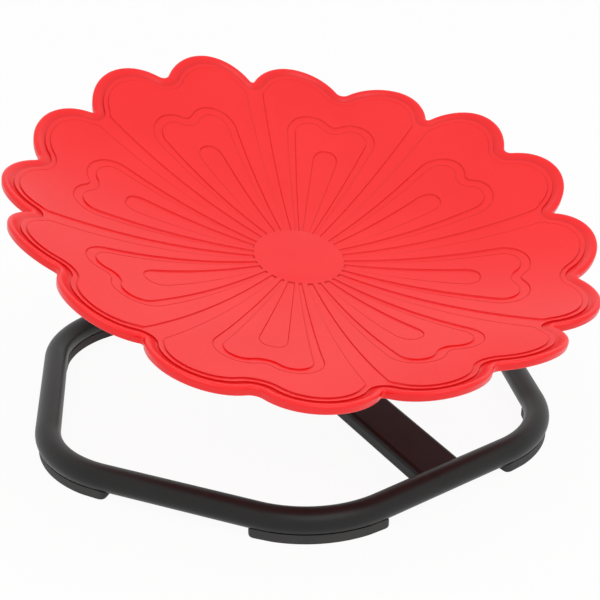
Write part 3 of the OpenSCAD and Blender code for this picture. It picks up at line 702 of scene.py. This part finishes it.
def footSection(sideInset, endInset):
    # lower edge from one side's lip round to the other's, then back along the tube's underside
    wide, edge = foot["width"] / 2, foot["edgeRound"]
    half = wide - sideInset
    squeeze = (half - edge) / (wide - edge)
    deep = half - foot["lipDepth"] * squeeze
    inner = np.array([-deep, saddle(deep)])
    tip = np.array([-half, saddle(half) - foot["lipGap"]])
    into = (inner - tip) * foot["lipRound"] / math.dist(inner, tip)
    down = np.array([0, -foot["lipRound"]])
    share = np.linspace(0, 1, foot["lipSteps"] + 1)[:, None]
    lip = tip + (1 - share) ** 2 * into + share ** 2 * down
    corner = arcPoints((edge - half, edge + endInset), edge, math.pi, 1.5 * math.pi, foot["edgeSteps"])
    left = np.concatenate([[inner], lip, [(lip[-1] + corner[0]) / 2], corner])
    flat = np.linspace(-foot["patchHalf"], foot["patchHalf"], foot["patchCells"] + 1) * squeeze
    bottom = np.stack([flat, np.full_like(flat, endInset)], -1)
    lower = np.concatenate([left, bottom, left[::-1] * np.array([-1, 1])])
    back = np.linspace(1, -1, len(lower)) * deep
    return np.concatenate([lower, np.stack([back, saddle(back)], -1)])


def footPlaced(corner, angle, x, z):
    # angle round the bend, place across the tube and height to a place in the frame
    angle, x, z = np.broadcast_arrays(angle, x, z)
    plan = bendCentre(corner) + (ringTube["bendRadius"] + x)[..., None] * wayAt(corner * cornerTurn + angle)
    return np.concatenate([plan, z[..., None]], -1)


def borePatch(corner, screw):
    # polar grid between a square of the pad's underside and the bore of its screw
    cells, half = foot["patchCells"], foot["patchHalf"]
    side = np.linspace(-half, half, cells + 1)[:-1]
    full = np.full(cells, half)
    x = np.concatenate([side, full, -side, -full])
    along = np.concatenate([-full, side, full, -side])
    square = footPlaced(corner, screw + along / ringTube["bendRadius"], x, 0.0)
    middle = footPlaced(corner, screw, 0.0, 0.0)
    way = square - middle
    way /= np.linalg.norm(way, axis=1)[:, None]
    bore, edge, depth, floor = foot["boreRadius"], foot["boreEdge"], foot["boreDepth"], foot["boreFloor"]
    bow = edge * foot["edgeBow"]
    rings = ((bore + foot["boreLand"], 0), (bore + edge, 0), (bore + bow, bow), (bore, edge),
             (bore, depth - floor), (bore - floor, depth), (bore / 2, depth), (0, depth))
    rows = [middle + way * radius + np.array([0, 0, height]) for radius, height in rings]
    return sheet(np.array([square] + rows), False, True)


def footGrid(corner):
    # the section carried round the bend, drawn in at its rounded ends and closed there
    endRound, bend = foot["endRound"], ringTube["bendRadius"]
    halfSpan = math.radians(foot["span"] / 2)
    turn = np.linspace(0, math.pi / 2, foot["endSteps"] + 1)
    fromEnd = foot["endCorner"] * (1 - np.cos(turn))
    endAngles = halfSpan - fromEnd / bend
    sideInsets = foot["endCorner"] * (1 - np.sin(turn))
    endInsets = endRound - np.sqrt(endRound ** 2 - np.maximum(endRound - fromEnd, 0) ** 2)
    patch = foot["patchHalf"] / bend
    screw = math.radians(foot["screwAngle"])
    cells = np.linspace(-patch, patch, foot["patchCells"] + 1)
    between = np.linspace(patch - screw, screw - patch, foot["middleSteps"] + 1)[1:-1]
    inner = np.concatenate([cells - screw, between, cells + screw])
    angles = np.concatenate([-endAngles, inner, endAngles[::-1]])
    flush = np.zeros(len(inner))
    sideInsets = np.concatenate([sideInsets, flush, sideInsets[::-1]])
    endInsets = np.concatenate([endInsets, flush, endInsets[::-1]])
    shape = np.array([footSection(*insets) for insets in zip(sideInsets, endInsets)])
    points = footPlaced(corner, angles[:, None], shape[..., 0], shape[..., 1])
    rows, columns = points.shape[:2]
    quads = gridFaces(rows, columns, False, True)
    row = np.repeat(np.arange(rows - 1), columns)
    column = np.tile(np.arange(columns), rows - 1)
    firstFlat = (columns // 2 - foot["patchCells"] - 1) // 2
    inFlat = (column >= firstFlat) & (column < firstFlat + foot["patchCells"])
    middle = (angles[row] + angles[row + 1]) / 2
    inPatch = inFlat & (np.abs(np.abs(middle) - screw) < patch)
    bores = [borePatch(corner, side * screw) for side in (-1, 1)]
    return joinGrids([(points.reshape(-1, 3), quads[~inPatch])] + endCaps(points, foot["capSteps"]) + bores)


for corner in range(ringTube["corners"]):
    makePiece(f"footPad{corner + 1}", footGrid(corner), "base", f"foot_pad_{corner + 1}")


# turned pieces round the spin axis

turnedSides = {"plug": 72, "plain": 96, "plate": 144}
roundSteps = 5  # steps round each eased corner


def easedLoop(corners):
    # closed outline whose corners (place, place, round) become arcs that touch both sides
    corners = np.array(corners, float)
    parts = []
    for before, here, after in zip(np.roll(corners, 1, 0), corners, np.roll(corners, -1, 0)):
        into, out = here[:2] - before[:2], after[:2] - here[:2]
        into, out = into / np.hypot(*into), out / np.hypot(*out)
        turn = math.atan2(into[0] * out[1] - into[1] * out[0], into @ out)
        normal = np.sign(turn) * np.array([-into[1], into[0]])
        start = here[:2] - here[2] * math.tan(abs(turn) / 2) * into
        angle = np.linspace(0, turn, roundSteps + 1 if here[2] > 0 else 1)[:, None]
        spoke = -here[2] * normal
        swung = spoke * np.cos(angle) + np.array([-spoke[1], spoke[0]]) * np.sin(angle)
        parts.append(start + here[2] * normal + swung)
    return np.concatenate(parts)


def lathe(corners, sides=turnedSides["plain"]):
    # an outline of radius and height turned round the spin axis
    loop = easedLoop(corners)
    angle = np.linspace(0, 2 * math.pi, sides, endpoint=False)
    return sheet(onAxis(loop[:, :1, None] * wayAt(angle), loop[:, 1:]), True, True)


weldBead = {
    "radius": 2.6, "ripple": 0.22, "ripplePitch": 3.2, "sides": 12, "taper": 12, "spacing": 40,
    "aside": 0.01, "out": 0.3, "over": 0.2}


def axisBead(radius, height, fromAngle, toAngle):
    # line of a weld bead round the spin axis
    count = int(abs(toAngle - fromAngle) * radius / weldBead["spacing"])
    angle = np.radians(np.linspace(fromAngle, toAngle, count))
    return onAxis(radius * wayAt(angle), height)


def beadGrid(line, closed=False):
    # a round bead with a weld's even ripples, carried along a line and tapered at open ends
    along = np.gradient(line, axis=0)
    along /= np.linalg.norm(along, axis=1)[:, None]
    length = np.concatenate([[0], np.cumsum(np.linalg.norm(np.diff(line, axis=0), axis=1))])
    first = np.cross(along, acrossAxis + weldBead["aside"])
    first /= np.linalg.norm(first, axis=1)[:, None]
    second = np.cross(along, first)
    ripple = np.abs(np.sin(math.pi * length / weldBead["ripplePitch"]))
    size = weldBead["radius"] * (1 - weldBead["ripple"] * ripple)
    if not closed:
        fromMiddle = np.abs(np.linspace(-1, 1, len(line)))
        size = size * np.sqrt(np.clip(1 - fromMiddle ** weldBead["taper"], 0, 1))
    around = np.linspace(0, 2 * math.pi, weldBead["sides"], endpoint=False)[None, :, None]
    spokes = np.cos(around) * first[:, None] + np.sin(around) * second[:, None]
    return sheet(line[:, None] + size[:, None, None] * spokes, closed, True)


housing = {
    "radius": 25, "access": 15, "bore": 20.02, "pocket": 14, "ringGroove": 1.25, "ringWidth": 1.79,
    "edge": 0.3, "topRound": 1.4, "mouth": 0.7, "mouthRound": 0.2, "stepRound": 0.5, "beadSpan": 88}
low, high = axisRange("bearing_housing")
ringLow = axisRange("retaining_ring")[0]
ringHigh = ringLow + housing["ringWidth"]
bore, groove, step = housing["bore"], housing["bore"] + housing["ringGroove"], low + housing["pocket"]
housingGrid = lathe([
    (housing["radius"], low, housing["edge"]), (housing["radius"], high, housing["topRound"]),
    (bore + housing["mouth"], high, housing["mouthRound"]),
    (bore, high - housing["mouth"], housing["mouthRound"]), (bore, ringHigh, 0), (groove, ringHigh, 0),
    (groove, ringLow, 0), (bore, ringLow, 0), (bore, step, 0),
    (housing["access"], step, housing["stepRound"]), (housing["access"], low, housing["edge"])])
beads = []
for middle in (90, 270):
    ends = middle - housing["beadSpan"] / 2, middle + housing["beadSpan"] / 2
    beads.append(beadGrid(axisBead(housing["radius"] + weldBead["out"], low + weldBead["over"], *ends)))
makePiece("bearingHousing", joinGrids([housingGrid] + beads), "base", "bearing_housing")

cover = {
    "outer": 28, "inner": 25.6, "neck": 12.02, "top": 2, "foot": 2.2, "step": 0.5,
    "footRound": 0.9, "edge": 0.4, "topRound": 1.6, "innerRound": 1.0}
low, high = axisRange("dust_cover")
under = high - cover["top"]
skirt, footHigh = cover["outer"] - cover["step"], low + cover["foot"]
makePiece("dustCover", lathe([
    (cover["outer"], low, cover["footRound"]), (cover["outer"], footHigh, cover["edge"]),
    (skirt, footHigh + cover["step"], cover["edge"]), (skirt, high, cover["topRound"]),
    (cover["neck"], high, cover["edge"]), (cover["neck"], under, cover["edge"]),
    (cover["inner"], under, cover["innerRound"]), (cover["inner"], low, cover["footRound"])]),
    "seat", "dust_cover")

plate = {"radius": 72, "edge": 0.9}
low, high = axisRange("seat_plate")
plateGrid = lathe([
    (0, low, 0), (plate["radius"], low, plate["edge"]), (plate["radius"], high, plate["edge"]),
    (0, high, 0)], turnedSides["plate"])
makePiece("seatPlate", plateGrid, "seat", "seat_plate")

shaft = {
    "thread": 6, "journal": 8.48, "shoulder": 12, "flange": 30, "flangeThickness": 5, "tip": 1.2,
    "tipRound": 0.2, "lead": 0.6, "ringGap": 0.02, "shoulderRound": 0.3, "fillet": 1.0, "flangeRound": 0.8}
low, high = axisRange("spindle")
journalLow = axisRange("lower_inner_ring")[0] + shaft["ringGap"]
shoulderLow = axisRange("upper_inner_ring")[1]
flangeLow = high - shaft["flangeThickness"]
shaftGrid = lathe([
    (0, low, 0), (shaft["thread"] - shaft["tip"], low, shaft["tipRound"]),
    (shaft["thread"], low + shaft["tip"], shaft["tipRound"]), (shaft["thread"], journalLow, 0),
    (shaft["journal"] - shaft["lead"], journalLow, 0), (shaft["journal"], journalLow + shaft["lead"], 0),
    (shaft["journal"], shoulderLow, 0), (shaft["shoulder"], shoulderLow, shaft["shoulderRound"]),
    (shaft["shoulder"], flangeLow, shaft["fillet"]), (shaft["flange"], flangeLow, shaft["flangeRound"]),
    (shaft["flange"], high, 0), (0, high, 0)])
flangeLine = axisBead(shaft["flange"] + weldBead["out"], high - weldBead["over"], 0, 360)[:-1]
makePiece("spindleShaft", joinGrids([shaftGrid, beadGrid(flangeLine, True)]), "seat", "spindle")

plug = {
    "flange": 18, "flangeThickness": 2, "wall": 14.98, "inner": 13, "grooveFrom": 9.5, "grooveTo": 11.5,
    "groove": 0.5, "edge": 0.2, "flangeRound": 1.5, "wallRound": 0.5}
low, high = axisRange("bar_plug")
shelf = low + plug["flangeThickness"]
grooveFrom, grooveTo, edge = plug["grooveFrom"], plug["grooveTo"], plug["edge"]
makePiece("barPlug", lathe([
    (0, low, 0), (grooveFrom, low, edge), (grooveFrom + plug["groove"], low + plug["groove"], edge),
    (grooveTo - plug["groove"], low + plug["groove"], edge), (grooveTo, low, edge),
    (plug["flange"], low, plug["flangeRound"]), (plug["flange"], shelf, edge), (plug["wall"], shelf, 0),
    (plug["wall"], high, plug["wallRound"]), (plug["inner"], high, plug["wallRound"]),
    (plug["inner"], shelf, plug["wallRound"]), (0, shelf, 0)], turnedSides["plug"]),
    "base", "bar_plug")


# screws

crossArm = 0.36  # half the width of a cross recess's arm over the arm's length
noTurn = 0.01  # least turn from an arm's middle that counts
# rings of a recess as shares of its reach and depth, from its floor up
recessRings = ((0, 1), (0.5, 1), (0.94, 1), (1, 0.9))
screwEdge = {
    "sides": 48, "crownSteps": 6, "mouthDepth": 0.15, "mouth": 1.04, "face": 1.3, "faceGap": 0.2,
    "rim": 0.2, "neck": 0.3, "tipLength": 0.8, "tip": 0.7}


def sixSided(angle):
    # reach of a hexagon's edge over its half width, by angle
    return 1 / np.cos((angle + math.pi / 6) % (math.pi / 3) - math.pi / 6)


def crossShaped(angle):
    # reach of a cross recess over its arm's length, by angle
    fold = np.abs((angle + math.pi / 4) % (math.pi / 2) - math.pi / 4)
    return np.minimum(1 / np.cos(fold), crossArm / np.maximum(np.sin(fold), noTurn))


def screwRows(screw, socket):
    # radius by angle and height of every ring, from the recess's floor over the head to the shank's end
    angle = np.linspace(0, 2 * math.pi, screwEdge["sides"], endpoint=False)
    head, tall, deep, key = screw["head"], screw["tall"], screw["deep"], screw["key"]
    shank, end, crown = screw["shank"], screw["end"], screw["crown"]
    rim, neck = screwEdge["rim"], screwEdge["neck"]
    recess = [(key * reach, deep * share) for reach, share in recessRings]
    recess += [(key, screwEdge["mouthDepth"]), (key * screwEdge["mouth"], 0)]
    outside = [(key * screwEdge["face"] + screwEdge["faceGap"], 0)]
    outside += arcPoints((head - crown, crown), crown, -math.pi / 2, 0, screwEdge["crownSteps"]).tolist()
    outside += [(head, tall - rim), (head - rim, tall), (shank + neck, tall), (shank, tall + neck),
                (shank, end - screwEdge["tipLength"]), (shank - screwEdge["tip"], end), (0, end)]
    radius = [r * socket(angle) for r, _ in recess] + [np.full(len(angle), r) for r, _ in outside]
    height = np.array([h for _, h in recess + outside])
    return np.array(radius), angle, height[:, None]


seatScrew = {"head": 5.25, "tall": 3.6, "deep": 2.2, "key": 2.0, "shank": 3, "end": 15.1, "crown": 1.8,
             "count": 6, "circle": 54}
low = axisRange("seat_screws")[0]
radius, angle, height = screwRows(seatScrew, sixSided)
grids = []
for k in range(seatScrew["count"]):
    turn = 2 * math.pi * k / seatScrew["count"]
    plan = seatScrew["circle"] * wayAt(turn) + radius[..., None] * wayAt(angle + turn)
    grids.append(sheet(onAxis(plan, low + height), False, True))
makePiece("seatScrews", joinGrids(grids), "seat", "seat_screws")

footScrew = {"head": 3.8, "tall": 2.4, "deep": 1.3, "key": 2.1, "shank": 2, "end": 13.4, "crown": 1.2}
low = boxOf("foot_screws")[0][2]
radius, angle, height = screwRows(footScrew, crossShaped)
grids = []
for corner in range(ringTube["corners"]):
    for side in (-1, 1):
        turn = math.radians(side * foot["screwAngle"])
        plan = radius[..., None] * wayAt(angle + turn)
        points = np.concatenate([plan, np.broadcast_to(height, radius.shape)[..., None]], -1)
        grids.append(sheet(footPlaced(corner, turn, 0.0, low) + points, False, True))
makePiece("footScrews", joinGrids(grids), "base", "foot_screws")


# room light, floor and camera

view = {
    "place": (-617.47, -811.85, 568.08), "pitch": 65.62, "turn": -37.038, "lens": 75.91, "sensor": 36}
camera = bpy.data.cameras.new("photoView")
camera.lens = view["lens"]
camera.sensor_width = view["sensor"]
cameraObject = inScene("photoView", camera)
cameraObject.location = np.array(view["place"]) * mm
cameraObject.rotation_euler = (math.radians(view["pitch"]), 0, math.radians(view["turn"]))
bpy.context.scene.camera = cameraObject

light = {"sky": 0.88, "horizon": 0.62, "key": 12.0, "keySize": 1.6, "keyPlace": (-0.4, -1.25, 1.85)}
ground = {"half": 8.0, "colour": (0.9, 0.9, 0.9, 1), "white": 0.94}


def backgroundRays(nodes, links):
    # one for camera, glossy and transmission rays, nought for the rays that light the object
    path = nodes.new("ShaderNodeLightPath")
    seen = path.outputs["Is Camera Ray"]
    for ray in ("Is Glossy Ray", "Is Transmission Ray"):
        either = nodes.new("ShaderNodeMath")
        either.operation = "MAXIMUM"
        links.new(seen, either.inputs[0])
        links.new(path.outputs[ray], either.inputs[1])
        seen = either.outputs["Value"]
    return seen


def makeWorld():
    # brighter overhead than at the horizon, and plain white to the camera and in reflections
    world = bpy.data.worlds.new("studio")
    bpy.context.scene.world = world
    world.use_nodes = True
    nodes, links = world.node_tree.nodes, world.node_tree.links
    background = nodes["Background"]
    background.inputs["Color"].default_value = (1, 1, 1, 1)
    place = nodes.new("ShaderNodeTexCoord")
    split = nodes.new("ShaderNodeSeparateXYZ")
    spread = nodes.new("ShaderNodeMapRange")
    spread.inputs["To Min"].default_value = light["horizon"]
    spread.inputs["To Max"].default_value = light["sky"]
    level = nodes.new("ShaderNodeMix")
    level.inputs["B"].default_value = 1.0
    links.new(place.outputs["Generated"], split.inputs["Vector"])
    links.new(split.outputs["Z"], spread.inputs["Value"])
    links.new(backgroundRays(nodes, links), level.inputs["Factor"])
    links.new(spread.outputs["Result"], level.inputs["A"])
    links.new(level.outputs["Result"], background.inputs["Strength"])


def makeFloor():
    # a wide pale floor that looks near white to the camera and still takes a soft shadow
    size = ground["half"]
    mesh = bpy.data.meshes.new("floor")
    corners = [(-size, -size, 0), (size, -size, 0), (size, size, 0), (-size, size, 0)]
    mesh.from_pydata(corners, [], [(0, 1, 2, 3)])
    floor = inScene("floor", mesh)
    finish, nodes, links, shader = newFinish("paleFloor")
    nodes.remove(shader)
    diffuse = nodes.new("ShaderNodeBsdfDiffuse")
    diffuse.inputs["Color"].default_value = ground["colour"]
    white = nodes.new("ShaderNodeEmission")
    share = nodes.new("ShaderNodeMath")
    share.operation = "MULTIPLY"
    share.inputs[1].default_value = ground["white"]
    mix = nodes.new("ShaderNodeMixShader")
    links.new(backgroundRays(nodes, links), share.inputs[0])
    links.new(share.outputs["Value"], mix.inputs["Fac"])
    links.new(diffuse.outputs["BSDF"], mix.inputs[1])
    links.new(white.outputs["Emission"], mix.inputs[2])
    links.new(mix.outputs["Shader"], nodes["Material Output"].inputs["Surface"])
    mesh.materials.append(finish)


def makeKey():
    # a broad soft light in front, above and to the left, turned to the middle of the floor
    lamp = bpy.data.lights.new("softKey", "AREA")
    lamp.energy = light["key"]
    lamp.size = light["keySize"]
    key = inScene("softKey", lamp)
    key.location = light["keyPlace"]
    direction = -np.array(light["keyPlace"])
    turn = math.atan2(direction[0], -direction[1])
    lean = math.atan2(math.hypot(direction[0], direction[1]), -direction[2])
    key.rotation_euler = (lean, 0, turn + math.pi)


makeWorld()
makeFloor()
makeKey()
bpy.context.scene.view_settings.view_transform = "Standard"
print("camera, light and floor set")
